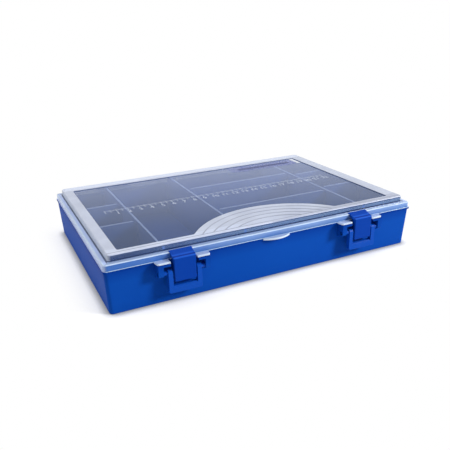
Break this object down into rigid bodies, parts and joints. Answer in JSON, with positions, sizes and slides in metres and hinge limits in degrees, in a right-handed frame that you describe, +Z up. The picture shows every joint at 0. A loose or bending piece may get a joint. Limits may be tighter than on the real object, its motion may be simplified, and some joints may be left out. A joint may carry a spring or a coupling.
{
  "type": "tackle box",
  "caption": "Flat fishing tackle box: a drafted tray with slotted partitions and dividers, a clear lid on pinned hinges, and toggle latches with a hook plate on a lever.",
  "frame": {"origin": "middle of the tray's flat underside, on the surface that it stands on", "axes": "+X to the right along the front with the latches, +Y to the rear with the hinges, +Z up"},
  "size_m": [0.2752, 0.1989, 0.045],
  "materials": {
    "tray_plastic": "blue moulded polypropylene, satin gloss",
    "lid_plastic": "clear moulded polypropylene with frosted margins",
    "latch_plastic": "deep blue moulded polypropylene, glossy",
    "divider_plastic": "blue moulded polypropylene plate",
    "pin_steel": "plain drawn steel wire"
  },
  "bodies": {
    "tray": {"base_tray": "tray_plastic", "hinge_pin_left": "pin_steel", "hinge_pin_right": "pin_steel", "partition_left": "divider_plastic", "partition_middle": "divider_plastic", "partition_right": "divider_plastic", "divider_left_front": "divider_plastic", "divider_left_rear": "divider_plastic", "divider_middle_front": "divider_plastic", "divider_middle_rear": "divider_plastic", "divider_right_front": "divider_plastic", "divider_right_rear": "divider_plastic"},
    "lid": {"lid": "lid_plastic"},
    "left_lever": {"latch_lever_left": "latch_plastic"},
    "left_hook": {"latch_hook_left": "latch_plastic"},
    "right_lever": {"latch_lever_right": "latch_plastic"},
    "right_hook": {"latch_hook_right": "latch_plastic"}
  },
  "joints": [
    {"name": "lid_hinge", "type": "hinge", "parent": "tray", "child": "lid", "pos_m": [0, 0.0965, 0.0346], "axis": [-1, 0, 0], "range_deg": [0, 180]},
    {"name": "left_lever_pivot", "type": "hinge", "parent": "tray", "child": "left_lever", "pos_m": [-0.08, -0.0964, 0.0264], "axis": [-1, 0, 0], "range_deg": [0, 95]},
    {"name": "left_hook_pivot", "type": "hinge", "parent": "left_lever", "child": "left_hook", "pos_m": [-0.08, -0.0972, 0.0209], "axis": [1, 0, 0], "range_deg": [0, 109.5]},
    {"name": "right_lever_pivot", "type": "hinge", "parent": "tray", "child": "right_lever", "pos_m": [0.08, -0.0964, 0.0264], "axis": [-1, 0, 0], "range_deg": [0, 95]},
    {"name": "right_hook_pivot", "type": "hinge", "parent": "right_lever", "child": "right_hook", "pos_m": [0.08, -0.0972, 0.0209], "axis": [1, 0, 0], "range_deg": [0, 109.5]}
  ],
  "couplings": [
    {"joint": "left_hook_pivot", "follows": "left_lever_pivot", "ratio": 1.15},
    {"joint": "right_hook_pivot", "follows": "right_lever_pivot", "ratio": 1.15}
  ]
}
